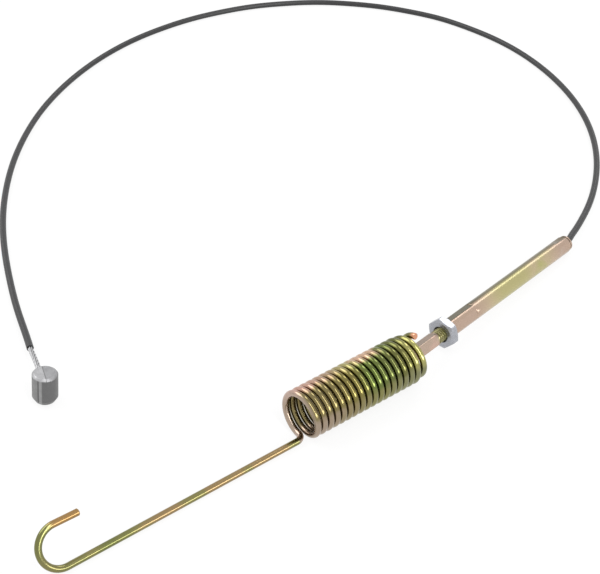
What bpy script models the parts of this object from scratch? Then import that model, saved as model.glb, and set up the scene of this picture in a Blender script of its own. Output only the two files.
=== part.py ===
"""Mower drive cable: a hooked tension spring, a screw adjuster and a coated wire rope with a cast end.

Everything is laid out in a spring frame first: its origin is on the floor under the mouth of the
coil, +X runs along the coil towards the adjuster and +Z is up. One empty then carries the whole
cable so that the box of its stiff pieces stands centred over the origin. All sizes are in metres.
"""
import math

import bmesh
import bpy
import numpy as np
from mathutils import Vector

# Spring, arm and hook: one piece of wire
WIRE_D = 0.0029
WIRE_ROUND_STEPS = 2
SPRING_OD = 0.0221
COIL_PITCH = 0.00335
COIL_TURNS = 18.5
COIL_STEPS_PER_TURN = 16
BEND_R = 0.0034
BEND_STEPS = 6
ARM_LENGTH = 0.107
HOOK_R = 0.0088
HOOK_LEAN = math.radians(27.9)
HOOK_TURN = math.radians(181.6)
HOOK_STEPS = 16
HOOK_TIP_LENGTH = 0.0106
CUT_BEVEL = 0.0004
CUT_SHARE = 0.8

# The last turns close in to hold the stud's head: turns left, depth inside the coil's circle, spread
CLOSING_TURNS = 1.5
CLOSING_RUN = (
    (1.5, 0.0, 0.0),
    (1.0, 0.0005, 0.0004),
    (0.75, 0.0007, 0.0007),
    (0.45, 0.0021, 0.0007),
    (0.27, 0.0029, 0.0007),
    (0.0, -0.0006, 0.0006),
)

# Play between pieces
SEAT_GAP = 0.0003
HEAD_PLAY = 0.0009
THREAD_PLAY = 0.0004
STOP_PLAY = 0.0003

# Stud: head inside the spring, square shank, threaded end
STUD_SIDEWAYS = 0.0003
STUD_SAG = 0.00035
STUD_YAW = math.radians(10.6)
SHANK_ROLL = math.radians(-25.5)
HEAD_THICKNESS = 0.0024
HEAD_BEVEL = 0.0003
NECK_LENGTH = 0.0016
SHANK_SIDE = 0.0052
SHANK_LENGTH = 0.0196
SHANK_EDGE = 0.0003
SHOULDER_LENGTH = 0.0006
THREAD_D = 0.0057
THREAD_LENGTH = 0.0371
THREAD_BEVEL = 0.0008
STUD_SIDES = 24

# Hexagon nut
NUT_FLATS = 0.0127
NUT_THICKNESS = 0.0046
NUT_SETBACK = 0.0038
NUT_BEVEL = 0.0009
NUT_SINK = 0.0006
NUT_ROLL = math.radians(13.0)
NUT_SIDES = 48

# Sleeve: tube with wrench flats at the nut, pressed and rolled over at the cable
SLEEVE_D = 0.0083
SLEEVE_LENGTH = 0.0965
SLEEVE_RIM = 0.0003
FLATS_WIDTH = 0.0075
FLATS_LENGTH = 0.0178
FLATS_FADE = 0.0012
CRIMP_WIDTH = 0.0077
CRIMP_LENGTH = 0.0090
NOSE_LENGTH = 0.0013
NOSE_D = 0.0078
NECK_RING_D = 0.0070
LIP_LENGTH = 0.0011
LIP_D = 0.0076
END_WALL = 0.0022
SLEEVE_ROLL = math.radians(-23.0)
SLEEVE_SIDES = 32

# Stop on the rope's end inside the sleeve
STOP_LENGTH = 0.0105
STOP_BEVEL = 0.0004
STOP_SIDES = 16

# Coated wire rope
COATING_D = 0.0032
COATING_PLAY = 0.0003
ROPE_D = 0.0024
CORD_ROUND_STEPS = 2
COATING_POINTS = 78
ROPE_POINTS = 6

# Cast end on the far end of the rope, standing on the floor and leaning as the rope holds it
CAST_D = 0.0110
CAST_HEIGHT = 0.0139
CAST_BEVEL = 0.0010
CAST_TAPER = 0.0012
CAST_TAPER_HEIGHT = 0.0020
CAST_SIDES = 32
CAST_FOOT = (-0.0707, 0.0833)
CAST_LEAN = math.radians(6.7)
CAST_SOCKET_PLAY = 0.0003
CAST_SOCKET_DEPTH = 0.0030
CAST_SOCKET_SIDES = 16

# Route of the coated rope, from inside the sleeve's mouth to the cut end of the coating
COATING_ROUTE = (
    (0.1802, 0.0228, 0.0041),
    (0.1819, 0.0231, 0.0040),
    (0.1875, 0.0255, 0.0036),
    (0.1938, 0.0284, 0.0031),
    (0.2051, 0.0340, 0.0022),
    (0.2172, 0.0406, 0.0017),
    (0.2410, 0.0572, 0.0017),
    (0.2623, 0.0775, 0.0017),
    (0.2806, 0.1020, 0.0017),
    (0.2934, 0.1271, 0.0017),
    (0.3016, 0.1519, 0.0017),
    (0.3059, 0.1760, 0.0017),
    (0.3064, 0.1989, 0.0017),
    (0.3036, 0.2203, 0.0017),
    (0.2984, 0.2405, 0.0017),
    (0.2901, 0.2585, 0.0017),
    (0.2799, 0.2752, 0.0017),
    (0.2677, 0.2900, 0.0017),
    (0.2530, 0.3040, 0.0017),
    (0.2337, 0.3166, 0.0017),
    (0.2164, 0.3250, 0.0017),
    (0.1975, 0.3307, 0.0017),
    (0.1778, 0.3343, 0.0017),
    (0.1570, 0.3351, 0.0017),
    (0.1355, 0.3333, 0.0017),
    (0.1134, 0.3283, 0.0017),
    (0.0910, 0.3199, 0.0017),
    (0.0688, 0.3083, 0.0017),
    (0.0472, 0.2935, 0.0017),
    (0.0268, 0.2754, 0.0017),
    (0.0081, 0.2549, 0.0017),
    (-0.0084, 0.2326, 0.0017),
    (-0.0221, 0.2102, 0.0017),
    (-0.0336, 0.1870, 0.0017),
    (-0.0430, 0.1646, 0.0017),
    (-0.0513, 0.1421, 0.0020),
    (-0.0584, 0.1202, 0.0033),
    (-0.0611, 0.1124, 0.0042),
)
# Route of the bare rope, from the coating to the middle of the cast end
ROPE_ROUTE = (
    (-0.0612, 0.1121, 0.0042),
    (-0.0636, 0.1039, 0.0056),
    (-0.0658, 0.0967, 0.0068),
    (-0.0698, 0.0833, 0.0084),
)

# Colours: base colour, metallic, roughness
ZINC_YELLOW = ((0.42, 0.38, 0.16), 1.0, 0.28)
ZINC_TAN = ((0.55, 0.46, 0.32), 1.0, 0.35)
ZINC_CLEAR = ((0.70, 0.72, 0.76), 1.0, 0.25)
STEEL_GREY = ((0.45, 0.44, 0.42), 1.0, 0.40)
CAST_GREY = ((0.45, 0.45, 0.46), 0.9, 0.50)
COATING_BLACK = ((0.035, 0.035, 0.038), 0.0, 0.40)

# Values worked out from the sizes above
COIL_R = (SPRING_OD - WIRE_D) / 2
WIRE_R = WIRE_D / 2
COIL_HEIGHT = COIL_R + WIRE_R
HEAD_R = COIL_R - WIRE_R - HEAD_PLAY
SHANK_START = NECK_LENGTH
SHANK_END = SHANK_START + SHANK_LENGTH
THREAD_START = SHANK_END + SHOULDER_LENGTH
THREAD_END = THREAD_START + THREAD_LENGTH
NUT_START = THREAD_START + NUT_SETBACK
NUT_END = NUT_START + NUT_THICKNESS
SLEEVE_START = NUT_END + SEAT_GAP
SLEEVE_END = SLEEVE_START + SLEEVE_LENGTH
THREAD_BORE_R = THREAD_D / 2 + THREAD_PLAY
SLEEVE_BORE_END = SLEEVE_END - END_WALL
MOUTH_R = COATING_D / 2 + COATING_PLAY
STOP_END = SLEEVE_BORE_END - STOP_PLAY
STOP_START = STOP_END - STOP_LENGTH
STOP_R = THREAD_BORE_R - STOP_PLAY
SHARP_ANGLE = math.radians(35.0)


def clear_scene():
    """Remove every object of the open file."""
    for old in list(bpy.data.objects):
        bpy.data.objects.remove(old, do_unlink=True)


def material(name, look):
    """A plain Principled material from a colour, a metallic value and a roughness."""
    colour, metallic, roughness = look
    made = bpy.data.materials.new(name)
    made.use_nodes = True
    shader = made.node_tree.nodes["Principled BSDF"]
    shader.inputs["Base Color"].default_value = (*colour, 1.0)
    shader.inputs["Metallic"].default_value = metallic
    shader.inputs["Roughness"].default_value = roughness
    return made


def empty(name, parent=None, location=(0, 0, 0), rotation=(0, 0, 0)):
    """An axis to hang pieces on."""
    made = bpy.data.objects.new(name, None)
    made.parent = parent
    made.location = location
    made.rotation_euler = rotation
    bpy.context.scene.collection.objects.link(made)
    return made


def place(made, parent, look, rotation=(0, 0, 0)):
    """Link a new object, give it its own material and hang it on its parent."""
    made.data.materials.append(material(made.name, look))
    made.parent = parent
    made.rotation_euler = rotation
    bpy.context.scene.collection.objects.link(made)
    return made


def spline_through(points, count):
    """Evenly spaced points on the natural cubic curve that passes through the given points."""
    knots = np.array(points, dtype=float)
    steps = np.linalg.norm(np.diff(knots, axis=0), axis=1)
    along = np.concatenate(([0.0], np.cumsum(steps)))
    size = len(knots)
    system = np.eye(size)
    right = np.zeros_like(knots)
    for i in range(1, size - 1):
        before, after = steps[i - 1], steps[i]
        system[i, i - 1:i + 2] = before, 2 * (before + after), after
        slope_after = (knots[i + 1] - knots[i]) / after
        slope_before = (knots[i] - knots[i - 1]) / before
        right[i] = 6 * (slope_after - slope_before)
    bend = np.linalg.solve(system, right)

    def at(distance):
        i = int(np.clip(np.searchsorted(along, distance) - 1, 0, size - 2))
        span = steps[i]
        after, before = (along[i + 1] - distance) / span, (distance - along[i]) / span
        straight = after * knots[i] + before * knots[i + 1]
        curved = (after**3 - after) * bend[i] + (before**3 - before) * bend[i + 1]
        return straight + curved * span**2 / 6

    return [at(distance) for distance in np.linspace(0.0, along[-1], count)]


def tube(name, points, radius, round_steps, look, parent, shares=None):
    """A round wire or cord along a line of points, closed at both ends."""
    curve = bpy.data.curves.new(name, "CURVE")
    curve.dimensions = "3D"
    curve.bevel_depth = radius
    curve.bevel_resolution = round_steps
    curve.use_fill_caps = True
    line = curve.splines.new("POLY")
    line.points.add(len(points) - 1)
    for i, (node, point) in enumerate(zip(line.points, points)):
        node.co = (*point, 1.0)
        node.radius = 1.0 if shares is None else shares[i]
    line.use_smooth = True
    return place(bpy.data.objects.new(name, curve), parent, look)


def round_section(radius):
    """A round cross-section."""
    return lambda angle: radius


def square_section(width, corner_d):
    """A square cross-section whose corners lie on a circle."""
    return lambda angle: min(width / 2 / max(abs(math.cos(angle)), abs(math.sin(angle))), corner_d / 2)


def hexagon_section(flats, corner_d):
    """A hexagonal cross-section whose corners are cut back to a circle."""
    def radius(angle):
        from_flat = (angle % math.radians(60.0)) - math.radians(30.0)
        return min(flats / 2 / math.cos(from_flat), corner_d / 2)
    return radius


def loft(name, stations, sides, look, parent, rotation=(0, 0, 0), hollow=False):
    """A solid drawn through cross-sections along X; a hollow one closes back on its first section."""
    form = bmesh.new()
    rings = []
    for distance, section in stations:
        ring = []
        for k in range(sides):
            angle = 2 * math.pi * k / sides
            radius = section(angle)
            ring.append(form.verts.new((distance, radius * math.cos(angle), radius * math.sin(angle))))
        rings.append(ring)
    pairs = list(zip(rings, rings[1:]))
    if hollow:
        pairs.append((rings[-1], rings[0]))
    for one, two in pairs:
        for k in range(sides):
            n = (k + 1) % sides
            form.faces.new((one[k], one[n], two[n], two[k]))
    if not hollow:
        form.faces.new(list(reversed(rings[0])))
        form.faces.new(rings[-1])
    bmesh.ops.recalc_face_normals(form, faces=form.faces)
    mesh = bpy.data.meshes.new(name)
    form.to_mesh(mesh)
    form.free()
    mesh.shade_smooth()
    mesh.set_sharp_from_angle(angle=SHARP_ANGLE)
    return place(bpy.data.objects.new(name, mesh), parent, look, rotation)


def hook_points():
    """Hook from its cut tip round to the arm; the hook leans over to +Y."""
    up = Vector((0.0, math.sin(HOOK_LEAN), math.cos(HOOK_LEAN)))
    foot = Vector((-BEND_R - ARM_LENGTH, -BEND_R, WIRE_R))
    centre = foot + up * HOOK_R
    points = []
    for k in range(HOOK_STEPS + 1):
        turn = HOOK_TURN * (1 - k / HOOK_STEPS)
        points.append(centre - HOOK_R * (math.sin(turn) * Vector((1, 0, 0)) + math.cos(turn) * up))
    ahead = -math.cos(HOOK_TURN) * Vector((1, 0, 0)) + math.sin(HOOK_TURN) * up
    bevel_start = points[0] + ahead * (HOOK_TIP_LENGTH - CUT_BEVEL)
    tip = points[0] + ahead * HOOK_TIP_LENGTH
    return [tip, bevel_start] + points


def bend_points():
    """Quarter bend on the floor that takes the arm round into the first turn."""
    lead = math.atan2(COIL_PITCH, 2 * math.pi * COIL_R)
    sweep = math.radians(90.0) - lead
    points = []
    for k in range(BEND_STEPS):
        turn = sweep * k / BEND_STEPS
        points.append(Vector((-BEND_R + BEND_R * math.sin(turn), -BEND_R * math.cos(turn), WIRE_R)))
    return points


def coil_points():
    """Right-hand coil that starts at the bottom of the mouth and ends in a raised tail on top."""
    closing = np.array(spline_through(CLOSING_RUN, 4 * COIL_STEPS_PER_TURN))[::-1]
    steps = round(COIL_TURNS * COIL_STEPS_PER_TURN)
    points = []
    for k in range(steps + 1):
        turn = COIL_TURNS * k / steps
        left = COIL_TURNS - turn
        radius = COIL_R
        distance = COIL_PITCH * turn
        if left < CLOSING_TURNS:
            radius -= float(np.interp(left, closing[:, 0], closing[:, 1]))
            distance += float(np.interp(left, closing[:, 0], closing[:, 2]))
        angle = 2 * math.pi * turn
        points.append(Vector((distance, radius * math.sin(angle), COIL_HEIGHT - radius * math.cos(angle))))
    return points


def spring_hook(parent):
    """The whole wire, with its two ends bevelled where they were cut."""
    points = hook_points() + bend_points() + coil_points()
    ahead = (points[-1] - points[-2]).normalized()
    points.append(points[-1] + ahead * CUT_BEVEL)
    shares = [1.0] * len(points)
    shares[0] = shares[-1] = CUT_SHARE
    return tube("spring_hook", points, WIRE_R, WIRE_ROUND_STEPS, ZINC_YELLOW, parent, shares)


def stud_axis(parent):
    """Axis of stud, nut and sleeve, from the stud's head to the sleeve's end, which is on the floor."""
    height = COIL_HEIGHT - STUD_SAG
    drop = math.asin((height - SLEEVE_D / 2) / SLEEVE_END)
    start = (COIL_PITCH * (COIL_TURNS - CLOSING_TURNS), -STUD_SIDEWAYS, height)
    return empty("stud_axis", parent, start, (0.0, drop, STUD_YAW))


def adjuster_stud(parent):
    """Headed stud: round head in the spring, square shank, round threaded end."""
    square = square_section(SHANK_SIDE, SHANK_SIDE * math.sqrt(2) - 2 * SHANK_EDGE)
    stations = (
        (-HEAD_THICKNESS, round_section(HEAD_R - HEAD_BEVEL)),
        (-HEAD_THICKNESS + HEAD_BEVEL, round_section(HEAD_R)),
        (-HEAD_BEVEL, round_section(HEAD_R)),
        (0.0, round_section(HEAD_R - HEAD_BEVEL)),
        (NECK_LENGTH / 2, round_section((SHANK_SIDE + NECK_LENGTH) / 2)),
        (SHANK_START, square),
        (SHANK_END, square),
        (SHANK_END + SHOULDER_LENGTH / 2, square_section(SHANK_SIDE, SHANK_SIDE + SHANK_EDGE)),
        (THREAD_START, round_section(THREAD_D / 2)),
        (THREAD_END - THREAD_BEVEL, round_section(THREAD_D / 2)),
        (THREAD_END, round_section(THREAD_D / 2 - THREAD_BEVEL)),
    )
    return loft("adjuster_stud", stations, STUD_SIDES, ZINC_TAN, parent, (SHANK_ROLL, 0.0, 0.0))


def jam_nut(parent):
    """Hexagon nut, bevelled on both faces, with a sunk edge round its bore."""
    corners = NUT_FLATS / math.cos(math.radians(30.0))
    stations = (
        (NUT_START, hexagon_section(NUT_FLATS, NUT_FLATS - NUT_BEVEL)),
        (NUT_START + NUT_BEVEL / 2, hexagon_section(NUT_FLATS, (NUT_FLATS + corners) / 2)),
        (NUT_START + NUT_BEVEL, hexagon_section(NUT_FLATS, corners)),
        (NUT_END - NUT_BEVEL, hexagon_section(NUT_FLATS, corners)),
        (NUT_END - NUT_BEVEL / 2, hexagon_section(NUT_FLATS, (NUT_FLATS + corners) / 2)),
        (NUT_END, hexagon_section(NUT_FLATS, NUT_FLATS - NUT_BEVEL)),
        (NUT_END, round_section(THREAD_BORE_R + NUT_SINK)),
        (NUT_END - NUT_SINK, round_section(THREAD_BORE_R)),
        (NUT_START + NUT_SINK, round_section(THREAD_BORE_R)),
        (NUT_START, round_section(THREAD_BORE_R + NUT_SINK)),
    )
    return loft("jam_nut", stations, NUT_SIDES, ZINC_CLEAR, parent, (NUT_ROLL, 0.0, 0.0), hollow=True)


def adjuster_sleeve(parent):
    """Tube with pressed flats at the nut; at the cable it is crimped and rolled in over the stop."""
    flats = square_section(FLATS_WIDTH, SLEEVE_D)
    crimp = square_section(CRIMP_WIDTH, SLEEVE_D)
    flats_end = SLEEVE_START + FLATS_LENGTH
    nose_start = SLEEVE_END - LIP_LENGTH - NOSE_LENGTH
    nose_end = nose_start + NOSE_LENGTH
    crimp_start = SLEEVE_END - CRIMP_LENGTH
    stations = (
        (SLEEVE_START, square_section(FLATS_WIDTH - 2 * SLEEVE_RIM, SLEEVE_D - 2 * SLEEVE_RIM)),
        (SLEEVE_START + SLEEVE_RIM, flats),
        (flats_end, flats),
        (flats_end + FLATS_FADE / 2, square_section((FLATS_WIDTH + 2 * SLEEVE_D) / 3, SLEEVE_D)),
        (flats_end + FLATS_FADE, round_section(SLEEVE_D / 2)),
        (crimp_start - FLATS_FADE, round_section(SLEEVE_D / 2)),
        (crimp_start, crimp),
        (nose_start, crimp),
        (nose_start + NOSE_LENGTH / 2, round_section((SLEEVE_D + NOSE_D) / 4)),
        (nose_end - SLEEVE_RIM, round_section(NOSE_D / 2)),
        (nose_end, round_section(NECK_RING_D / 2)),
        (nose_end + SLEEVE_RIM, round_section(LIP_D / 2)),
        (SLEEVE_END - SLEEVE_RIM, round_section(LIP_D / 2)),
        (SLEEVE_END, round_section(LIP_D / 2 - SLEEVE_RIM)),
        (SLEEVE_END, round_section(MOUTH_R + SLEEVE_RIM)),
        (SLEEVE_END - SLEEVE_RIM, round_section(MOUTH_R)),
        (SLEEVE_BORE_END, round_section(MOUTH_R)),
        (SLEEVE_BORE_END, round_section(THREAD_BORE_R)),
        (SLEEVE_START + SLEEVE_RIM, round_section(THREAD_BORE_R)),
        (SLEEVE_START, round_section(THREAD_BORE_R + SLEEVE_RIM / 2)),
    )
    roll = (SLEEVE_ROLL, 0.0, 0.0)
    return loft("adjuster_sleeve", stations, SLEEVE_SIDES, ZINC_TAN, parent, roll, hollow=True)


def cable_stop(parent):
    """Swaged stop that the sleeve's rolled end pulls on."""
    stations = (
        (STOP_START, round_section(STOP_R - STOP_BEVEL)),
        (STOP_START + STOP_BEVEL, round_section(STOP_R)),
        (STOP_END - STOP_BEVEL, round_section(STOP_R)),
        (STOP_END, round_section(STOP_R - STOP_BEVEL)),
    )
    return loft("cable_stop", stations, STOP_SIDES, STEEL_GREY, parent)


def rope_heading():
    """Direction in which the bare rope runs into the cast end."""
    before, last = Vector(ROPE_ROUTE[-2]), Vector(ROPE_ROUTE[-1])
    return (last - before).normalized()


def wire_rope(parent):
    """Bare stretch of rope, which ends at the bottom of the cast end's socket."""
    inner = CAST_D / 2 - CAST_SOCKET_DEPTH + SEAT_GAP
    route = list(ROPE_ROUTE[:-1]) + [Vector(ROPE_ROUTE[-1]) - rope_heading() * inner]
    points = spline_through(route, ROPE_POINTS)
    return tube("wire_rope", points, ROPE_D / 2, CORD_ROUND_STEPS, STEEL_GREY, parent)


def cable_coating(parent):
    """Coated length of the rope, lying in its open loop on the floor."""
    points = spline_through(COATING_ROUTE, COATING_POINTS)
    return tube("cable_coating", points, COATING_D / 2, CORD_ROUND_STEPS, COATING_BLACK, parent)


def end_fitting(parent):
    """Cast barrel on the rope's end, with a socket in its side for the rope."""
    raised = CAST_D / 2 * math.sin(CAST_LEAN)
    stations = (
        (0.0, round_section(CAST_D / 2 - CAST_TAPER)),
        (CAST_TAPER_HEIGHT, round_section(CAST_D / 2)),
        (CAST_HEIGHT - CAST_BEVEL, round_section(CAST_D / 2)),
        (CAST_HEIGHT, round_section(CAST_D / 2 - CAST_BEVEL)),
    )
    barrel = loft("end_fitting", stations, CAST_SIDES, CAST_GREY, parent)
    barrel.location = (*CAST_FOOT, raised)
    barrel.rotation_euler = (0.0, CAST_LEAN - math.radians(90.0), 0.0)

    socket_r = ROPE_D / 2 + CAST_SOCKET_PLAY
    stations = ((-CAST_D, round_section(socket_r)), (CAST_SOCKET_DEPTH - CAST_D / 2, round_section(socket_r)))
    socket = loft("socket_cutter", stations, CAST_SOCKET_SIDES, CAST_GREY, parent)
    socket.location = ROPE_ROUTE[-1]
    socket.rotation_euler = rope_heading().to_track_quat("X", "Z").to_euler()
    socket.hide_render = True
    socket.display_type = "WIRE"
    cut = barrel.modifiers.new("socket", "BOOLEAN")
    cut.operation = "DIFFERENCE"
    cut.solver = "EXACT"
    cut.object = socket
    return barrel


def centre_over_origin(frame, pieces):
    """Move the whole cable so that the box of the given pieces stands centred on the floor."""
    bpy.context.view_layer.update()
    graph = bpy.context.evaluated_depsgraph_get()
    low, high = np.full(3, np.inf), np.full(3, -np.inf)
    for piece in pieces:
        evaluated = piece.evaluated_get(graph)
        for vertex in evaluated.to_mesh().vertices:
            point = np.array(evaluated.matrix_world @ vertex.co)
            low, high = np.minimum(low, point), np.maximum(high, point)
        evaluated.to_mesh_clear()
    middle = (low + high) / 2
    frame.location = (-middle[0], -middle[1], -low[2])


def main():
    """Build the cable."""
    clear_scene()
    frame = empty("cable_frame")
    axis = stud_axis(frame)
    stiff = [spring_hook(frame), adjuster_stud(axis), jam_nut(axis), adjuster_sleeve(axis), cable_stop(axis)]
    cable_coating(frame)
    wire_rope(frame)
    end_fitting(frame)
    centre_over_origin(frame, stiff)


main()
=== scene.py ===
"""Looks of the mower drive cable: finer visible pieces over the solids, finishes, light and camera.

Routes and centre lines are written in the spring frame: origin on the floor under the mouth of the
coil, +X along the coil, +Z up. ROW_SHIFT takes them to the row frame. All sizes are in metres.
"""

import math

import bpy
import numpy as np
from mathutils import Matrix, Vector

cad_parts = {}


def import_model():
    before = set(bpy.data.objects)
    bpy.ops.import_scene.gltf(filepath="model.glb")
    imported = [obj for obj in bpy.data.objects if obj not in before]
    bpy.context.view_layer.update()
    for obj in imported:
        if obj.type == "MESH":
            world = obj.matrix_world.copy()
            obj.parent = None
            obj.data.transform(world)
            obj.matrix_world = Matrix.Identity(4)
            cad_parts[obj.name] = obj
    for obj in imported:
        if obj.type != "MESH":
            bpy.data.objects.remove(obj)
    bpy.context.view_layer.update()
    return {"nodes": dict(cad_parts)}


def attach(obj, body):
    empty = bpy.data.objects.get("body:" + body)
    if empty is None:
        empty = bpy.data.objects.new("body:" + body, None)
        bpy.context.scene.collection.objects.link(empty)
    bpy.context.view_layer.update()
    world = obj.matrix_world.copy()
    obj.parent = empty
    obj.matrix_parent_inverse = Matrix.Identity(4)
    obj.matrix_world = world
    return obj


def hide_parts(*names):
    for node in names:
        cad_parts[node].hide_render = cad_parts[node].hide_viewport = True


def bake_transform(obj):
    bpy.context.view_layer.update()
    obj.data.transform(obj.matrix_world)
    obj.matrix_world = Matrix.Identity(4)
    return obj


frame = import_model()
scene = bpy.context.scene

# Spring frame in the row frame
ROW_SHIFT = Vector((-0.030849, -0.007830, 0.0))

# Edges sharper than this stay sharp, unless a piece has its own limit
SHARP = math.radians(35.0)

# Wire of spring, arm and hook; the coil's axis is as high as its outer radius, since it lies on the floor
WIRE_R = 0.00145
WIRE_SIDES = 28
CUT_BEVEL = 0.0003
CUT_SHARE = 0.8
COIL_R = 0.0096
COIL_HEIGHT = COIL_R + WIRE_R
COIL_PITCH = 0.00335
COIL_TURNS = 18.5
COIL_STEPS = 72
BEND_R = 0.0034
BEND_STEPS = 18
ARM_LENGTH = 0.107
ARM_STEPS = 60
HOOK_R = 0.00873
HOOK_LEAN = math.radians(27.9)
HOOK_TURN = math.radians(181.6)
HOOK_STEPS = 60
HOOK_TIP_LENGTH = 0.0106
TIP_STEPS = 8

# Closed-in last turns: turns left to the tail, loss of radius, and extra distance along the coil
CLOSING_TURNS = 1.5
CLOSING_RUN = (
    (1.5, 0.0, 0.0),
    (1.0, 0.0005, 0.0004),
    (0.75, 0.0007, 0.0007),
    (0.45, 0.0021, 0.0007),
    (0.27, 0.0029, 0.0007),
    (0.0, -0.0005, 0.0006),
)

# Stud, by distance along the axis; the head lies behind its start
HEAD_R = 0.00725
HEAD_LENGTH = 0.0024
HEAD_BEVEL = 0.0004
NECK_WIDER = 0.0006
NECK_ROUND = 0.001
SHANK_SIDE = 0.0052
SHANK_ROUND = 0.0006
SHANK_START = 0.0016
SHANK_END = 0.0212
SHANK_RINGS = 8
SHOULDER_R = 0.0029
THREAD_START = 0.0218
THREAD_END = 0.0589
THREAD_R = 0.00312
THREAD_DEPTH = 0.00075
THREAD_PITCH = 0.00127
THREAD_LEAD = 0.0001
THREAD_TIP = 0.0006
THREAD_STEPS = 10
RIDGE_NARROWING = 1.15
CREST_WIDENING = 1.25
STUD_SIDES = 120

# Nut
NUT_START = 0.0256
NUT_END = 0.0302
NUT_HALF = 0.00635
NUT_ROUND = 0.0003
NUT_FACE_R = 0.0057
NUT_CONE = math.radians(30.0)
NUT_CONE_STEPS = 6
NUT_BORE_R = 0.00325
NUT_SINK_R = 0.00385
NUT_SINK = 0.0010
NUT_SIDES = 144

# Sleeve
SLEEVE_START = 0.0305
SLEEVE_END = 0.1270
SLEEVE_R = 0.00415
SLEEVE_BORE_R = 0.00325
SLEEVE_SIDES = 96
MOUTH_R = 0.0034
MOUTH_BEVEL = 0.0003
FLATS_HALF = 0.00365
FLATS_ROUND = 0.0004
FLATS_END = 0.0483
FLATS_RINGS = 12
TUBE_MARGIN = 0.0012
TUBE_RINGS = 20
CRIMP_HALF = 0.00372
CRIMP_START = 0.1180
NOSE_LENGTH = 0.0024
NOSE_RUN = 0.0008
NOSE_R = 0.0037
NOSE_ROLL = 0.00035
NOSE_STEPS = 6
NOSE_BLEND_STEPS = 3
GROOVE_R = 0.0032
LIP_R = 0.0038
CABLE_HOLE_R = 0.0019

# Run-outs from one section to the next: share of the next section, and distance from the start
SHOULDER_RUN = ((0.25, 0.0002), (0.6, 0.0004), (1.0, 0.0006))
FLATS_RUN = ((0.35, 0.0001), (0.7, 0.0003), (1.0, 0.0005))
CRIMP_RUN = ((0.3, 0.0004), (0.65, 0.0008), (1.0, 0.0012))

# Sleeve's end, over the groove and the lip and back inside: distance from the end, and radius
END_PROFILE = (
    (0.0015, GROOVE_R),
    (0.0011, GROOVE_R),
    (0.0010, 0.0037),
    (0.0008, LIP_R),
    (0.0003, LIP_R),
    (0.0, 0.0035),
    (0.0, 0.0022),
    (0.0003, CABLE_HOLE_R),
    (0.0022, CABLE_HOLE_R),
    (0.0022, SLEEVE_BORE_R),
)

# Axis of stud, nut and sleeve, and each one's own roll about it; the sleeve's end lies on the floor
STUD_HEIGHT = 0.0107
STUD_START = Vector((0.05695, -0.0003, STUD_HEIGHT))
STUD_YAW = math.radians(10.6)
STUD_DROP = math.asin((STUD_HEIGHT - SLEEVE_R) / SLEEVE_END)
AXIS_TURN = Matrix.Rotation(STUD_YAW, 4, "Z") @ Matrix.Rotation(STUD_DROP, 4, "Y")
SHANK_ROLL = math.radians(-25.5)
SLEEVE_ROLL = math.radians(-23.0)
NUT_ROLL = math.radians(43.0)

# Cords
COATING_D = 0.0032
COATING_POINTS = 240
COATING_SIDES = 20
ROPE_D = 0.0024
ROPE_LAY = 0.0160
ROPE_STRANDS = 6
ROPE_STEPS = 90
STRAND_SIDES = 12
CORE_SHARE = 1.4
COATING_ROUTE = (
    (0.1802, 0.0228, 0.0041),
    (0.1819, 0.0231, 0.0040),
    (0.1875, 0.0255, 0.0036),
    (0.1938, 0.0284, 0.0031),
    (0.2051, 0.0340, 0.0022),
    (0.2172, 0.0406, 0.0017),
    (0.2410, 0.0572, 0.0017),
    (0.2623, 0.0775, 0.0017),
    (0.2806, 0.1020, 0.0017),
    (0.2934, 0.1271, 0.0017),
    (0.3016, 0.1519, 0.0017),
    (0.3059, 0.1760, 0.0017),
    (0.3064, 0.1989, 0.0017),
    (0.3036, 0.2203, 0.0017),
    (0.2984, 0.2405, 0.0017),
    (0.2901, 0.2585, 0.0017),
    (0.2799, 0.2752, 0.0017),
    (0.2677, 0.2900, 0.0017),
    (0.2530, 0.3040, 0.0017),
    (0.2337, 0.3166, 0.0017),
    (0.2164, 0.3250, 0.0017),
    (0.1975, 0.3307, 0.0017),
    (0.1778, 0.3343, 0.0017),
    (0.1570, 0.3351, 0.0017),
    (0.1355, 0.3333, 0.0017),
    (0.1134, 0.3283, 0.0017),
    (0.0910, 0.3199, 0.0017),
    (0.0688, 0.3083, 0.0017),
    (0.0472, 0.2935, 0.0017),
    (0.0268, 0.2754, 0.0017),
    (0.0081, 0.2549, 0.0017),
    (-0.0084, 0.2326, 0.0017),
    (-0.0221, 0.2102, 0.0017),
    (-0.0336, 0.1870, 0.0017),
    (-0.0430, 0.1646, 0.0017),
    (-0.0513, 0.1421, 0.0020),
    (-0.0584, 0.1202, 0.0033),
    (-0.0611, 0.1124, 0.0042),
)
ROPE_ROUTE = (
    (-0.0612, 0.1121, 0.0042),
    (-0.0636, 0.1039, 0.0056),
    (-0.0658, 0.0967, 0.0068),
    (-0.0698, 0.0833, 0.0084),
)

# Cast end
CAST_R = 0.0055
CAST_HEIGHT = 0.0139
CAST_BEVEL = 0.0010
CAST_EDGE = 0.0004
CAST_TAPER = 0.0012
CAST_TAPER_HEIGHT = 0.0020
CAST_RINGS = 6
CAST_SIDES = 96
CAST_FOOT = Vector((-0.0707, 0.0833, 0.0))
CAST_LEAN = math.radians(6.7)
SOCKET_DEPTH = 0.0030
SOCKET_GAP = 0.0003

# Finishes: the way the coil's crown faces, which places its painted highlight, and the level directions
# across the barrel's painted bands of light and shade and across its seam
CROWN_UP = 0.716
CROWN_BACK = 0.698
CROWN_UNEVEN = 0.5
COIL_DRIFT = 0.010
BANDS_X = 0.911
BANDS_Y = -0.412
SEAM_X = 0.947
SEAM_Y = -0.321
SEAM_OFFSET = 0.0005
GRAIN_DEPTH = 0.00005
PLAIN_GRAIN = 1800.0
NUT_COLOUR = (0.37, 0.38, 0.41)
STOP_COLOUR = (0.45, 0.44, 0.42)
COATING_COLOUR = (0.018, 0.018, 0.019)

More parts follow.
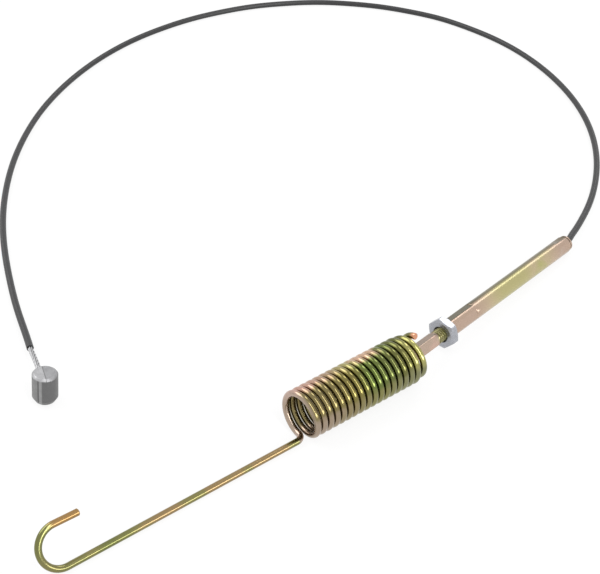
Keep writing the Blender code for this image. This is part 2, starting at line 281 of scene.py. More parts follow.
# Camera, floor and light: FLOOR_WHITE is the floor's share of even white, FILL the world's light
CAMERA_AT = Vector((-0.25442, -0.32654, 0.39470))
CAMERA_AZIMUTH = math.radians(-38.01)
CAMERA_ELEVATION = math.radians(37.5)
LENS = 83.2
FLOOR_HALF = 1.6
FLOOR_AT = (0.0, 0.1, -0.0001)
FLOOR_WHITE = 0.86
FILL = 0.70
LAMP_TARGET = (0.05, 0.05, 0.0)


def row(point):
    """A point of the spring frame in the row frame."""
    return Vector(point) + ROW_SHIFT


def spline_through(points, count):
    """Evenly spaced points on the natural cubic curve that passes through the given points."""
    knots = np.array(points, dtype=float)
    steps = np.linalg.norm(np.diff(knots, axis=0), axis=1)
    along = np.concatenate(([0.0], np.cumsum(steps)))
    size = len(knots)
    system = np.eye(size)
    right = np.zeros_like(knots)
    for i in range(1, size - 1):
        before, after = steps[i - 1], steps[i]
        system[i, i - 1:i + 2] = before, 2 * (before + after), after
        slope_after = (knots[i + 1] - knots[i]) / after
        slope_before = (knots[i] - knots[i - 1]) / before
        right[i] = 6 * (slope_after - slope_before)
    bend = np.linalg.solve(system, right)

    def at(distance):
        i = int(np.clip(np.searchsorted(along, distance) - 1, 0, size - 2))
        span = steps[i]
        after, before = (along[i + 1] - distance) / span, (distance - along[i]) / span
        straight = after * knots[i] + before * knots[i + 1]
        curved = (after**3 - after) * bend[i] + (before**3 - before) * bend[i + 1]
        return straight + curved * span**2 / 6

    return [at(distance) for distance in np.linspace(0.0, along[-1], count)]


def path_length(points):
    """Length of a line of points."""
    return sum((Vector(b) - Vector(a)).length for a, b in zip(points, points[1:]))


# Geometry: meshes are made from rings of points


def mesh_object(name, vertices, faces, sharp=SHARP):
    """A smooth-shaded mesh; edges sharper than that angle stay sharp."""
    mesh = bpy.data.meshes.new(name)
    mesh.from_pydata([tuple(v) for v in vertices], [], faces)
    mesh.validate()
    mesh.update()
    mesh.shade_smooth()
    mesh.set_sharp_from_angle(angle=sharp)
    made = bpy.data.objects.new(name, mesh)
    scene.collection.objects.link(made)
    return made


def keep_values(made, key, values):
    """Keep one value a vertex for the finish to read."""
    made.data.attributes.new(key, "FLOAT", "POINT").data.foreach_set("value", values)


def ring_faces(count, sides, closed=False):
    """Quads between rings of equal size; a closed loop joins last to first, else both ends are capped."""
    faces = []
    last = count if closed else count - 1
    for i in range(last):
        one, two = i * sides, (i + 1) % count * sides
        for k in range(sides):
            n = (k + 1) % sides
            faces.append((one + k, one + n, two + n, two + k))
    if not closed:
        faces.append(tuple(reversed(range(sides))))
        faces.append(tuple(range((count - 1) * sides, count * sides)))
    return faces


def frames_along(centres, tangents):
    """Each point's distance run and two directions across the line, which turn as little as possible."""
    side = tangents[0].orthogonal().normalized()
    run, frames = 0.0, []
    for i, (centre, tangent) in enumerate(zip(centres, tangents)):
        if i:
            run += (centre - centres[i - 1]).length
        side = (side - tangent * side.dot(tangent)).normalized()
        frames.append((run, side, tangent.cross(side)))
    return frames


def sweep(name, centres, radius, sides, shares=None):
    """A round wire along a line of points; wire_along keeps the distance run, for the finish."""
    centres = [Vector(c) for c in centres]
    tangents = []
    for i in range(len(centres)):
        before, after = centres[max(i - 1, 0)], centres[min(i + 1, len(centres) - 1)]
        tangents.append((after - before).normalized())
    vertices, along = [], []
    for i, (run, side, other) in enumerate(frames_along(centres, tangents)):
        share = 1.0 if shares is None else shares[i]
        for k in range(sides):
            angle = 2 * math.pi * k / sides
            out = side * math.cos(angle) + other * math.sin(angle)
            vertices.append(centres[i] + out * radius * share)
            along.append(run)
    made = mesh_object(name, vertices, ring_faces(len(centres), sides))
    keep_values(made, "wire_along", along)
    return made


def round_section(radius):
    """A round cross-section."""
    return lambda angle: radius


def polygon_section(count, half, rounding, limit=1.0):
    """A regular polygon of that half width with rounded corners, nowhere further out than limit."""
    sector = math.pi / count
    corner = (half - rounding) / math.cos(sector)

    def radius(angle):
        off = abs((angle + sector) % (2 * sector) - sector)
        if half * math.tan(off) <= (half - rounding) * math.tan(sector):
            reach = half / math.cos(off)
        else:
            left = sector - off
            aside = corner * math.sin(left)
            reach = corner * math.cos(left) + math.sqrt(max(rounding**2 - aside**2, 0.0))
        return min(reach, limit)

    return radius


def mix_section(one, two, share):
    """A cross-section between two others."""
    return lambda angle: one(angle) * (1 - share) + two(angle) * share


def thread_section(distance):
    """The thread's cross-section there: a ridge that goes round once in each pitch."""
    def radius(angle):
        phase = (distance / THREAD_PITCH - angle / (2 * math.pi)) % 1.0
        crest = 1.0 - min(abs(phase - 0.5) * 2.0 * RIDGE_NARROWING, 1.0)
        return THREAD_R - THREAD_DEPTH * (1.0 - min(crest * CREST_WIDENING, 1.0))

    return radius


def cone_cut_section(depth):
    """The nut's hexagon at that depth from a face, with its corners cut by the cone."""
    return polygon_section(6, NUT_HALF, NUT_ROUND, NUT_FACE_R + depth / math.tan(NUT_CONE))


def loft(name, stations, sides, hollow=False, sharp=SHARP):
    """A form drawn through cross-sections along X; a hollow one closes back on its first section."""
    vertices = []
    for distance, section in stations:
        for k in range(sides):
            angle = 2 * math.pi * k / sides
            radius = section(angle)
            vertices.append((distance, radius * math.cos(angle), radius * math.sin(angle)))
    return mesh_object(name, vertices, ring_faces(len(stations), sides, hollow), sharp)


def on_axis(made, roll=0.0):
    """Put a form that is drawn along X on the axis of stud, nut and sleeve."""
    place = Matrix.Translation(row(STUD_START)) @ AXIS_TURN @ Matrix.Rotation(roll, 4, "X")
    made.data.transform(place)
    made.data.update()
    return made


# Pieces


def hook_centres():
    """Centre line of the hook from its tip to the arm, in the spring frame."""
    along = Vector((1.0, 0.0, 0.0))
    up = Vector((0.0, math.sin(HOOK_LEAN), math.cos(HOOK_LEAN)))
    foot = Vector((-BEND_R - ARM_LENGTH, -BEND_R, WIRE_R))
    centre = foot + up * HOOK_R
    ahead = -math.cos(HOOK_TURN) * along + math.sin(HOOK_TURN) * up
    hook = []
    for k in range(HOOK_STEPS + 1):
        turn = HOOK_TURN * (1 - k / HOOK_STEPS)
        hook.append(centre - HOOK_R * (math.sin(turn) * along + math.cos(turn) * up))
    tip = [hook[0] + ahead * HOOK_TIP_LENGTH]
    for k in range(TIP_STEPS):
        tip.append(hook[0] + ahead * (HOOK_TIP_LENGTH - CUT_BEVEL) * (1 - k / TIP_STEPS))
    return tip + hook


def coil_centres():
    """Centre line of the coil from the arm's bend to its closed-in tail, in the spring frame."""
    closing = np.array(spline_through(CLOSING_RUN, 4 * COIL_STEPS))[::-1]
    coil = []
    steps = round(COIL_TURNS * COIL_STEPS)
    for k in range(steps + 1):
        turn = COIL_TURNS * k / steps
        left = COIL_TURNS - turn
        radius, distance = COIL_R, COIL_PITCH * turn
        if left < CLOSING_TURNS:
            radius -= float(np.interp(left, closing[:, 0], closing[:, 1]))
            distance += float(np.interp(left, closing[:, 0], closing[:, 2]))
        angle = 2 * math.pi * turn
        coil.append(Vector((distance, radius * math.sin(angle), COIL_HEIGHT - radius * math.cos(angle))))
    coil.append(coil[-1] + (coil[-1] - coil[-2]).normalized() * CUT_BEVEL)
    return coil


def wire_centres():
    """Centre line of the wire from the hook's tip to the coil's tail, and each point's share of radius."""
    hook = hook_centres()
    arm = [hook[-1] + Vector((ARM_LENGTH * k / ARM_STEPS, 0, 0)) for k in range(1, ARM_STEPS)]
    bend_turn = math.radians(90.0) - math.atan2(COIL_PITCH, 2 * math.pi * COIL_R)
    bend = []
    for k in range(BEND_STEPS):
        turn = bend_turn * k / BEND_STEPS
        bend.append(Vector((-BEND_R + BEND_R * math.sin(turn), -BEND_R * math.cos(turn), WIRE_R)))
    points = hook + arm + bend + coil_centres()
    shares = [1.0] * len(points)
    shares[0] = shares[-1] = CUT_SHARE
    return [row(p) for p in points], shares


def spring():
    """Spring, arm and hook in one smooth wire."""
    centres, shares = wire_centres()
    made = sweep("spring_hook_wire", centres, WIRE_R, WIRE_SIDES, shares)
    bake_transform(made)
    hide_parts("spring_hook")
    return made


def stud():
    """Headed stud with its square shank, turned shoulder and thread."""
    square = polygon_section(4, SHANK_SIDE / 2, SHANK_ROUND)
    shoulder = round_section(SHOULDER_R)
    root = round_section(THREAD_R - THREAD_DEPTH)
    stations = [
        (-HEAD_LENGTH, round_section(HEAD_R - HEAD_BEVEL)),
        (HEAD_BEVEL - HEAD_LENGTH, round_section(HEAD_R)),
        (-HEAD_BEVEL, round_section(HEAD_R)),
        (0.0, round_section(HEAD_R - HEAD_BEVEL)),
        (SHANK_START / 2, polygon_section(4, SHANK_SIDE / 2 + NECK_WIDER, NECK_ROUND)),
    ]
    stations += [(d, square) for d in np.linspace(SHANK_START, SHANK_END, SHANK_RINGS)]
    stations += [(SHANK_END + run, mix_section(square, shoulder, share)) for share, run in SHOULDER_RUN]
    stations.append((THREAD_START - THREAD_LEAD, root))
    threaded = THREAD_END - THREAD_START - THREAD_TIP
    count = round((THREAD_END - THREAD_START) / THREAD_PITCH * THREAD_STEPS)
    for k in range(count + 1):
        distance = THREAD_START + threaded * k / count
        stations.append((distance, thread_section(distance)))
    stations.append((THREAD_END, root))
    made = on_axis(loft("adjuster_stud_form", stations, STUD_SIDES, sharp=math.radians(50.0)), SHANK_ROLL)
    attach(made, "stud")
    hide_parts("adjuster_stud")
    return made


def nut():
    """Hexagon nut: cone-cut corners, and a plain bore with sunk mouths."""
    reach = NUT_HALF / math.cos(math.pi / 6)
    deepest = (reach - NUT_FACE_R) * math.tan(NUT_CONE)
    depths = [deepest * k / NUT_CONE_STEPS for k in range(NUT_CONE_STEPS + 1)]
    stations = [(NUT_START + depth, cone_cut_section(depth)) for depth in depths]
    stations += [(NUT_END - depth, cone_cut_section(depth)) for depth in reversed(depths)]
    stations += [
        (NUT_END, round_section(NUT_SINK_R)),
        (NUT_END - NUT_SINK, round_section(NUT_BORE_R)),
        (NUT_START + NUT_SINK, round_section(NUT_BORE_R)),
        (NUT_START, round_section(NUT_SINK_R)),
    ]
    form = loft("jam_nut_form", stations, NUT_SIDES, hollow=True, sharp=math.radians(18.0))
    made = on_axis(form, NUT_ROLL)
    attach(made, "nut")
    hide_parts("jam_nut")
    return made


def sleeve():
    """Sleeve: pressed flats with a run-out, plain tube, crimp, and the end rolled in to a lip."""
    tube = round_section(SLEEVE_R)
    flats = polygon_section(4, FLATS_HALF, FLATS_ROUND, SLEEVE_R)
    crimp = polygon_section(4, CRIMP_HALF, FLATS_ROUND, SLEEVE_R)
    stations = [
        (SLEEVE_START, mix_section(flats, round_section(MOUTH_R), 0.5)),
        (SLEEVE_START + MOUTH_BEVEL, flats),
    ]
    stations += [(d, flats) for d in np.linspace(SLEEVE_START, FLATS_END, FLATS_RINGS)[1:]]
    stations += [(FLATS_END + run, mix_section(flats, tube, share)) for share, run in FLATS_RUN]
    tube_end = CRIMP_START - TUBE_MARGIN
    stations += [(d, tube) for d in np.linspace(FLATS_END + TUBE_MARGIN, tube_end, TUBE_RINGS)[1:]]
    stations += [(tube_end + run, mix_section(tube, crimp, share)) for share, run in CRIMP_RUN]
    nose = SLEEVE_END - NOSE_LENGTH
    stations.append((nose, crimp))
    for k in range(1, NOSE_STEPS + 1):
        turn = math.radians(90.0) * k / NOSE_STEPS
        rolled = round_section(NOSE_R + NOSE_ROLL * math.cos(turn))
        section = mix_section(crimp, rolled, min(k / NOSE_BLEND_STEPS, 1.0))
        stations.append((nose + NOSE_RUN * math.sin(turn), section))
    stations += [(SLEEVE_END - back, round_section(radius)) for back, radius in END_PROFILE]
    stations += [
        (SLEEVE_START + MOUTH_BEVEL, round_section(SLEEVE_BORE_R)),
        (SLEEVE_START, round_section(MOUTH_R)),
    ]
    made = on_axis(loft("adjuster_sleeve_form", stations, SLEEVE_SIDES, hollow=True), SLEEVE_ROLL)
    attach(made, "sleeve")
    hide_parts("adjuster_sleeve")
    return made


def coating():
    """Black coated cable, and its centre line."""
    points = [row(p) for p in spline_through(COATING_ROUTE, COATING_POINTS)]
    made = sweep("cable_coating_cord", points, COATING_D / 2, COATING_SIDES)
    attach(made, "cable")
    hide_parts("cable_coating")
    return made, points


def rope_centres():
    """Centre line of the bare rope, which stops inside the barrel's socket."""
    heading = (Vector(ROPE_ROUTE[-1]) - Vector(ROPE_ROUTE[-2])).normalized()
    last = Vector(ROPE_ROUTE[-1]) - heading * (CAST_R - SOCKET_DEPTH + SOCKET_GAP)
    route = [Vector(p) for p in ROPE_ROUTE[:-1]] + [last]
    return [row(p) for p in spline_through(route, ROPE_STEPS)]


def rope():
    """Bare rope: six strands laid round a core; rope_away keeps how far out each vertex lies."""
    centres = rope_centres()
    tangents = [(b - a).normalized() for a, b in zip(centres, centres[1:])]
    tangents.append(tangents[-1])
    frames = frames_along(centres, tangents)
    strand_r = ROPE_D / 6
    made = sweep("wire_rope_core", centres, strand_r * CORE_SHARE, STRAND_SIDES)
    parts = [made]
    for s in range(ROPE_STRANDS):
        strand = []
        for centre, (run, side, other) in zip(centres, frames):
            angle = 2 * math.pi * (run / ROPE_LAY + s / ROPE_STRANDS)
            strand.append(centre + (side * math.cos(angle) + other * math.sin(angle)) * strand_r * 2)
        part = sweep("wire_rope_strand", strand, strand_r, STRAND_SIDES)
        at = np.array([v.co for v in part.data.vertices]).reshape(ROPE_STEPS, STRAND_SIDES, 3)
        away = np.linalg.norm(at - np.array(centres)[:, None, :], axis=2) / (ROPE_D / 2)
        keep_values(part, "rope_away", away.ravel())
        parts.append(part)
    bpy.ops.object.select_all(action="DESELECT")
    for part in parts:
        part.select_set(True)
    bpy.context.view_layer.objects.active = made
    bpy.ops.object.join()
    made.name = "wire_rope_strands"
    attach(made, "cable")
    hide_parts("wire_rope")
    return made


def cast_end():
    """Cast barrel with a bevelled top and a tapered foot; its finish draws the mould seam."""
    side = np.linspace(CAST_TAPER_HEIGHT, CAST_HEIGHT - CAST_BEVEL, CAST_RINGS)
    stations = [(0.0, round_section(CAST_R - CAST_TAPER))]
    stations += [(d, round_section(CAST_R)) for d in side]
    stations += [
        (CAST_HEIGHT - CAST_EDGE, round_section(CAST_R - CAST_EDGE)),
        (CAST_HEIGHT, round_section(CAST_R - CAST_BEVEL)),
    ]
    made = loft("end_fitting_form", stations, CAST_SIDES, sharp=math.radians(28.0))
    raised = CAST_R * math.sin(CAST_LEAN)
    turn = Matrix.Rotation(CAST_LEAN - math.radians(90.0), 4, "Y")
    made.data.transform(Matrix.Translation(row(CAST_FOOT) + Vector((0, 0, raised))) @ turn)
    made.data.update()
    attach(made, "cable")
    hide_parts("end_fitting")
    return made


# Finishes


def grey(value):
    """A neutral colour."""
    return (value, value, value)


class Finish:
    """A material and short ways to add nodes to its tree."""

    def __init__(self, name):
        self.material = bpy.data.materials.new(name)
        self.material.use_nodes = True
        self.tree = self.material.node_tree
        self.shader = self.tree.nodes["Principled BSDF"]
        self.place = self.tree.nodes.new("ShaderNodeTexCoord").outputs["Object"]
        split = self.node("ShaderNodeSeparateXYZ", Vector=self.place)
        self.x, self.y, self.z = split.outputs

    def feed(self, socket, value):
        """Link another node's output to a socket, or set a constant on it."""
        if isinstance(value, bpy.types.NodeSocket):
            self.tree.links.new(value, socket)
        elif isinstance(value, tuple) and socket.type == "RGBA":
            socket.default_value = (*value, 1.0)
        else:
            socket.default_value = value

    def node(self, kind, **sockets):
        """A new node with values for some of its inputs, by name."""
        made = self.tree.nodes.new(kind)
        for key, value in sockets.items():
            self.feed(made.inputs[key.replace("_", " ")], value)
        return made

    def kept(self, key):
        """A value that the mesh keeps at each vertex."""
        made = self.tree.nodes.new("ShaderNodeAttribute")
        made.attribute_name = key
        return made.outputs["Fac"]

    def facing(self, axis):
        """How far the surface faces along one axis: 0 is X, 1 is Y and 2 is Z."""
        normal = self.tree.nodes.new("ShaderNodeNewGeometry").outputs["Normal"]
        return self.node("ShaderNodeSeparateXYZ", Vector=normal).outputs[axis]

    def maths(self, operation, one, two=0.0):
        """The result of one sum on one or two values."""
        made = self.tree.nodes.new("ShaderNodeMath")
        made.operation = operation
        self.feed(made.inputs[0], one)
        self.feed(made.inputs[1], two)
        return made.outputs[0]

    def weighed(self, one, weight_one, two, weight_two):
        """The sum of two values, each times its weight."""
        first = self.maths("MULTIPLY", one, weight_one)
        return self.maths("ADD", first, self.maths("MULTIPLY", two, weight_two))

    def span(self, value, low, high, to_low=0.0, to_high=1.0, linear=False):
        """A step from to_low to to_high while value runs from low to high."""
        made = self.tree.nodes.new("ShaderNodeMapRange")
        made.interpolation_type = "LINEAR" if linear else "SMOOTHSTEP"
        for i, given in enumerate((value, low, high, to_low, to_high)):
            self.feed(made.inputs[i], given)
        return made.outputs[0]

    def noise(self, scale, detail=3.0):
        """Cloudy values from 0 to 1, the same at a place in every render."""
        return self.node("ShaderNodeTexNoise", Vector=self.place, Scale=scale, Detail=detail).outputs[0]

    def mix(self, share, one, two):
        """A colour between two others: share 0 is the first and 1 the second."""
        made = self.tree.nodes.new("ShaderNodeMix")
        made.data_type = "RGBA"
        self.feed(made.inputs[0], share)
        self.feed(made.inputs[6], one)
        self.feed(made.inputs[7], two)
        return made.outputs[2]

    def ramp(self, value, stops):
        """A colour that runs softly through stops, each a position and a colour."""
        made = self.node("ShaderNodeValToRGB", Fac=value)
        made.color_ramp.interpolation = "EASE"
        elements = made.color_ramp.elements
        while len(elements) > 1:
            elements.remove(elements[-1])
        elements[0].position, elements[0].color = stops[0][0], (*stops[0][1], 1.0)
        for position, colour in stops[1:]:
            elements.new(position).color = (*colour, 1.0)
        return made.outputs[0]

    def surface(self, colour, metallic, roughness, grain=0.1, size=2600.0, strength=0.15):
        """Set the look, with fine grain in roughness and height."""
        fine = self.noise(size)
        self.feed(self.shader.inputs["Base Color"], colour)
        self.feed(self.shader.inputs["Metallic"], metallic)
        rough = self.span(fine, 0.3, 0.7, roughness - grain / 2, roughness + grain / 2)
        self.feed(self.shader.inputs["Roughness"], rough)
        bump = self.node("ShaderNodeBump", Strength=strength, Distance=GRAIN_DEPTH, Height=fine)
        self.feed(self.shader.inputs["Normal"], bump.outputs[0])
        return self.material


def coil_colour(made, coil_start, coil_end):
    """The coil's plating: a body colour, a pink crown on the upper back that is a painted highlight, and a
    duller underside that is a painted reflection of the floor.

    Each runs along the coil from the arm's end to the stud's end."""
    uneven = made.maths("SUBTRACT", made.noise(scale=260.0), 0.5)
    place = made.maths("ADD", made.x, made.maths("MULTIPLY", uneven, COIL_DRIFT))
    along = made.span(place, coil_start, coil_end)
    body = made.ramp(along, (
        (0.00, (0.22, 0.18, 0.08)), (0.35, (0.21, 0.18, 0.06)), (0.55, (0.14, 0.18, 0.05)),
        (0.80, (0.13, 0.15, 0.05)), (0.90, (0.15, 0.15, 0.05)), (1.00, (0.40, 0.38, 0.14)),
    ))
    # Painted highlight: the crown's lighter pink on the upper back of the turns
    crown = made.ramp(along, (
        (0.00, (0.56, 0.34, 0.27)), (0.18, (0.44, 0.30, 0.20)), (0.32, (0.38, 0.31, 0.15)),
        (0.46, (0.40, 0.36, 0.15)), (0.55, (0.60, 0.40, 0.28)), (0.74, (0.60, 0.40, 0.27)),
        (0.84, (0.15, 0.18, 0.06)), (1.00, (0.14, 0.14, 0.05)),
    ))
    # Painted reflection of the floor: the underside's tone on the lower front of the turns
    underside = made.ramp(along, (
        (0.00, (0.36, 0.28, 0.21)), (0.25, (0.28, 0.23, 0.12)), (0.60, (0.24, 0.23, 0.09)),
        (1.00, (0.23, 0.23, 0.12)),
    ))
    # How far a point lies up and back on the coil: this places the painted highlight and the painted
    # reflection
    above = made.maths("SUBTRACT", made.z, COIL_HEIGHT)
    behind = made.maths("SUBTRACT", made.y, ROW_SHIFT.y)
    turned = made.weighed(above, CROWN_UP / COIL_HEIGHT, behind, CROWN_BACK / COIL_HEIGHT)
    turned = made.maths("ADD", turned, made.maths("MULTIPLY", uneven, CROWN_UNEVEN))
    colour = made.mix(made.span(turned, 0.62, 0.92), body, crown)
    return made.mix(made.span(turned, -0.30, -0.60), colour, underside)


def arm_colour(made, from_tip):
    """The arm's mottled plating, plainer towards the hook and warm at its tip."""
    hook, tip = (0.20, 0.20, 0.08), (0.36, 0.22, 0.09)
    colour = made.ramp(made.noise(scale=45.0, detail=2.0), (
        (0.38, (0.18, 0.19, 0.07)), (0.47, (0.24, 0.22, 0.09)), (0.54, (0.31, 0.22, 0.11)),
    ))
    colour = made.mix(made.span(from_tip, 0.050, 0.038, 0.0, 0.8), colour, hook)
    return made.mix(made.span(from_tip, 0.014, 0.010), colour, tip)


def spring_finish(length):
    """Yellow zinc on a wire of that length: olive and green, pink in the painted highlight on the coil's
    crown and first turn, with painted shade where two turns meet.
    """
    made = Finish("spring_wire")
    shade_between_turns, first_turn_highlight, tail = (0.07, 0.06, 0.02), (0.50, 0.39, 0.33), (0.66, 0.32, 0.20)
    coil_start = row((0.0, 0.0, 0.0)).x
    coil_end = coil_start + COIL_PITCH * COIL_TURNS
    from_tip = made.kept("wire_along")
    colour = coil_colour(made, coil_start, coil_end)
    # Painted shade where two turns meet: surfaces that face along the coil are darkened
    sideways = made.maths("ABSOLUTE", made.facing(0))
    in_coil = made.span(made.x, coil_start - 0.0017, coil_start + 0.0008)
    groove = made.maths("MULTIPLY", made.span(sideways, 0.80, 1.0, 0.0, 0.4), in_coil)
    colour = made.mix(groove, colour, shade_between_turns)
    # Painted highlight: the first turn at the coil's mouth is lighter pink-grey
    at_first_turn = made.span(made.x, coil_start + 0.0018, coil_start + 0.0002, 0.0, 0.7)
    colour = made.mix(at_first_turn, colour, first_turn_highlight)
    past_arm = made.span(made.x, coil_start - 0.0037, coil_start - 0.0017)
    colour = made.mix(past_arm, arm_colour(made, from_tip), colour)
    colour = made.mix(made.span(from_tip, length - 0.0030, length - 0.0006), colour, tail)
    return made.surface(colour, metallic=1.0, roughness=0.17, grain=0.04, strength=0.01)


def stud_finish():
    """Yellow zinc, tan to pink; the shoulder and the thread are olive, the thread darker with partly
    painted shade, and painted shade on the back.
    """
    made = Finish("stud_steel")
    tan, pink, olive = (0.42, 0.32, 0.25), (0.50, 0.35, 0.28), (0.27, 0.25, 0.12)
    thread_olive_shaded, stud_back_shade = (0.20, 0.19, 0.08), (0.20, 0.16, 0.12)
    thread = row(STUD_START).x + THREAD_START * math.cos(STUD_YAW)
    colour = made.mix(made.span(made.noise(scale=140.0), 0.4, 0.6), tan, pink)
    colour = made.mix(made.span(made.x, thread - 0.0006, thread + 0.0004), colour, olive)
    # The thread is its own olive, darkened further as painted shade from the nut
    colour = made.mix(made.span(made.x, thread + 0.0022, thread + 0.0038), colour, thread_olive_shaded)
    # Painted shade: faces turned to the back are darker brown
    colour = made.mix(made.span(made.facing(1), 0.10, 0.40, 0.0, 0.6), colour, stud_back_shade)
    return made.surface(colour, metallic=0.8, roughness=0.30, strength=0.02)


def sleeve_finish():
    """Yellow zinc, khaki; olive in the middle and pinkish towards the ends, with painted shade along the
    back and in the groove by the end.
    """
    made = Finish("sleeve_steel")
    khaki, pink, olive = (0.43, 0.34, 0.22), (0.38, 0.27, 0.21), (0.36, 0.34, 0.14)
    sleeve_back_shade, end_groove_shade = (0.10, 0.09, 0.05), (0.12, 0.10, 0.07)
    start = row(STUD_START).x
    near_end = made.span(made.x, start + 0.062, start + 0.046, 0.0, 0.9)
    far_end = made.span(made.x, start + 0.100, start + 0.118, 0.0, 0.9)
    middle_begins = made.span(made.x, start + 0.054, start + 0.070, 0.0, 0.8)
    middle_ends = made.span(made.x, start + 0.098, start + 0.084)
    middle = made.maths("MULTIPLY", middle_begins, middle_ends)
    patches = made.span(made.noise(scale=70.0, detail=4.0), 0.45, 0.70)
    colour = made.mix(made.maths("MAXIMUM", middle, patches), khaki, olive)
    colour = made.mix(made.maths("MAXIMUM", near_end, far_end), colour, pink)
    # Painted shade along the back, strongest near the nut end
    back = made.span(made.facing(1), -0.05, 0.25)
    fade = made.span(made.x, start + 0.044, start + 0.066, 0.95, 0.75)
    colour = made.mix(made.maths("MULTIPLY", back, fade), colour, sleeve_back_shade)
    # Painted shade in the groove near the end: a thin darker ring
    heading = AXIS_TURN.col[0].xyz
    reach = made.node("ShaderNodeVectorMath", Vector=made.place)
    reach.operation = "DOT_PRODUCT"
    reach.inputs[1].default_value = heading
    distance = made.maths("SUBTRACT", reach.outputs["Value"], row(STUD_START).dot(heading))
    into = made.span(distance, SLEEVE_END - 0.0017, SLEEVE_END - 0.0015)
    out = made.span(distance, SLEEVE_END - 0.0009, SLEEVE_END - 0.0011)
    colour = made.mix(made.maths("MULTIPLY", into, out), colour, end_groove_shade)
    return made.surface(colour, metallic=0.5, roughness=0.24, grain=0.06, strength=0.01)


def rope_finish():
    """Galvanised strands, with painted shade in the valleys between them."""
    made = Finish("rope_steel")
    dull, bright = (0.40, 0.40, 0.41), (0.50, 0.50, 0.51)
    strand = made.mix(made.span(made.noise(scale=900.0), 0.35, 0.65), dull, bright)
    # Painted shade in the valleys: strands darken to grey where they lie deep in the rope
    colour = made.mix(made.span(made.kept("rope_away"), 0.78, 0.97), grey(0.26), strand)
    return made.surface(colour, metallic=0.8, roughness=0.34)


def cast_finish():
    """Die-cast zinc: a dull grey side painted in upright bands of light and shade, and a top painted
    brighter, split by the mould seam.
    """
    made = Finish("cast_zinc")
    bright_half, dull_half = (0.44, 0.44, 0.45), (0.33, 0.33, 0.34)
    centre = row(CAST_FOOT) + Vector((math.sin(CAST_LEAN), 0.0, math.cos(CAST_LEAN))) * CAST_HEIGHT
    leaned = made.maths("MULTIPLY", made.maths("SUBTRACT", made.z, centre.z), math.tan(CAST_LEAN))
    aside = made.maths("SUBTRACT", made.maths("SUBTRACT", made.x, centre.x), leaned)
    ahead = made.maths("SUBTRACT", made.y, centre.y)
    right = made.weighed(aside, BANDS_X, ahead, BANDS_Y)
    # Painted light and shade on the side, in upright bands across the view: lighter on the left, a dark
    # line, a painted highlight strip, then broad dark and a darker right edge
    side = made.ramp(made.span(right, -CAST_R, CAST_R, linear=True), (
        (0.00, grey(0.16)), (0.03, grey(0.24)), (0.165, grey(0.24)), (0.18, grey(0.09)),
        (0.20, grey(0.10)), (0.235, grey(0.28)), (0.30, grey(0.28)), (0.35, grey(0.13)),
        (0.93, grey(0.13)), (0.98, grey(0.09)),
    ))
    across = made.maths("ADD", made.weighed(aside, SEAM_X, ahead, SEAM_Y), SEAM_OFFSET)
    top = made.mix(made.span(across, -0.0002, 0.0002), bright_half, dull_half)
    seam = made.span(made.maths("ABSOLUTE", across), 0.00028, 0.00008, 0.0, 0.8)
    top = made.mix(seam, top, grey(0.12))
    # Painted light: faces turned up take the brighter top colour
    colour = made.mix(made.span(made.facing(2), 0.35, 0.75), side, top)
    mottle = made.span(made.noise(scale=500.0), 0.3, 0.7, 0.0, 0.2)
    colour = made.mix(mottle, colour, grey(0.10))
    return made.surface(colour, metallic=0.6, roughness=0.42, size=1400.0, strength=0.06)


def plain_finish(name, colour, metallic, roughness, variation=0.08):
    """One colour with slight mottling, and fine grain."""
    made = Finish(name)
    dark = tuple(c * (1 - variation) for c in colour)
    light = tuple(c * (1 + variation) for c in colour)
    mottled = made.mix(made.span(made.noise(scale=600.0), 0.35, 0.65), dark, light)
    return made.surface(mottled, metallic, roughness, size=PLAIN_GRAIN)


def paint(made, material):
    """Give an object one material."""
    made.data.materials.clear()
    made.data.materials.append(material)


def build():
    """All visible pieces, with their finishes."""
    wire = spring()
    paint(wire, spring_finish(path_length(wire_centres()[0])))
    shaft = stud()
    paint(shaft, stud_finish())
    hexagon = nut()
    paint(hexagon, plain_finish("nut_steel", NUT_COLOUR, metallic=0.9, roughness=0.30, variation=0.05))
    tube = sleeve()
    paint(tube, sleeve_finish())
    stop = frame["nodes"]["cable_stop"]
    paint(stop, plain_finish("stop_steel", STOP_COLOUR, metallic=1.0, roughness=0.4))
    cable, points = coating()
    paint(cable, plain_finish("coating_plastic", COATING_COLOUR, metallic=0.0, roughness=0.42))
    strands = rope()
    paint(strands, rope_finish())
    barrel = cast_end()
    paint(barrel, cast_finish())


# Light and camera


def world():
    """White to the camera, to metal and to glass; an even fill for everything else."""
    made = bpy.data.worlds.new("studio")
    scene.world = made
    made.use_nodes = True
    tree = made.node_tree
    tree.nodes.clear()
    link = tree.links.new
    rays = tree.nodes.new("ShaderNodeLightPath").outputs
    seen = rays["Is Camera Ray"]
    for ray in ("Is Glossy Ray", "Is Transmission Ray"):
        either = tree.nodes.new("ShaderNodeMath")
        either.operation = "MAXIMUM"
        link(seen, either.inputs[0])
        link(rays[ray], either.inputs[1])
        seen = either.outputs[0]
    shades = []
    for strength in (FILL, 1.0):
        shade = tree.nodes.new("ShaderNodeBackground")
        shade.inputs["Color"].default_value = (1.0, 1.0, 1.0, 1.0)
        shade.inputs["Strength"].default_value = strength
        shades.append(shade.outputs[0])
    mixed = tree.nodes.new("ShaderNodeMixShader")
    link(seen, mixed.inputs["Fac"])
    link(shades[0], mixed.inputs[1])
    link(shades[1], mixed.inputs[2])
    output = tree.nodes.new("ShaderNodeOutputWorld")
    link(mixed.outputs[0], output.inputs["Surface"])


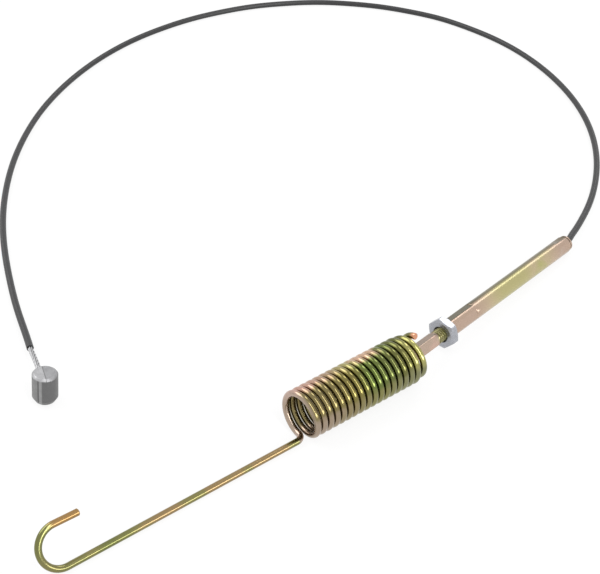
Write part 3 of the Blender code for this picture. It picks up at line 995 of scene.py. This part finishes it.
def floor():
    """Plain floor: where it is seen, most of it is even white and the rest is lit and keeps the shadow."""
    mesh = bpy.data.meshes.new("floor")
    size = FLOOR_HALF
    corners = [(-size, -size, 0), (size, -size, 0), (size, size, 0), (-size, size, 0)]
    mesh.from_pydata(corners, [], [(0, 1, 2, 3)])
    made = bpy.data.objects.new("floor", mesh)
    made.location = FLOOR_AT
    scene.collection.objects.link(made)
    finish = Finish("floor")
    tree, shader = finish.tree, finish.shader
    finish.feed(shader.inputs["Base Color"], grey(0.95))
    finish.feed(shader.inputs["Roughness"], 0.9)
    finish.feed(shader.inputs["Specular IOR Level"], 0.0)
    rays = tree.nodes.new("ShaderNodeLightPath").outputs
    seen = finish.maths("MAXIMUM", rays["Is Camera Ray"], rays["Is Glossy Ray"])
    seen = finish.maths("MAXIMUM", seen, rays["Is Transmission Ray"])
    white = finish.node("ShaderNodeEmission", Color=grey(1.0), Strength=1.0)
    mixed = tree.nodes.new("ShaderNodeMixShader")
    finish.feed(mixed.inputs["Fac"], finish.maths("MULTIPLY", seen, FLOOR_WHITE))
    finish.feed(mixed.inputs[1], shader.outputs[0])
    finish.feed(mixed.inputs[2], white.outputs[0])
    finish.feed(tree.nodes["Material Output"].inputs["Surface"], mixed.outputs[0])
    made.data.materials.append(finish.material)


def lamp(name, at, size, power):
    """A soft rectangular light aimed at the object."""
    data = bpy.data.lights.new(name, "AREA")
    data.shape = "RECTANGLE"
    data.size, data.size_y = size
    data.energy = power
    made = bpy.data.objects.new(name, data)
    made.location = at
    made.rotation_euler = (Vector(LAMP_TARGET) - Vector(at)).to_track_quat("-Z", "Y").to_euler()
    scene.collection.objects.link(made)


def lights():
    """Key behind on the right, two lamps in front on the right, and a wide one behind on the left."""
    lamp("key", (0.95, 0.42, 1.05), (0.28, 0.8), 2.8)
    lamp("strip", (-0.05, -1.00, 0.95), (0.20, 1.9), 11.0)
    lamp("side", (0.33, -1.05, 0.33), (0.7, 0.24), 3.4)
    lamp("top", (-0.40, 0.95, 1.00), (1.1, 0.9), 7.0)


def camera():
    """Camera at the photograph's angle."""
    data = bpy.data.cameras.new("camera")
    data.lens = LENS
    data.sensor_width = 36.0
    data.sensor_fit = "HORIZONTAL"
    data.clip_start = 0.01
    data.clip_end = 20.0
    made = bpy.data.objects.new("camera", data)
    made.location = row(CAMERA_AT)
    made.rotation_euler = (math.radians(90.0) - CAMERA_ELEVATION, 0.0, CAMERA_AZIMUTH)
    scene.collection.objects.link(made)
    scene.camera = made


build()
world()
floor()
lights()
camera()
scene.view_settings.view_transform = "Standard"
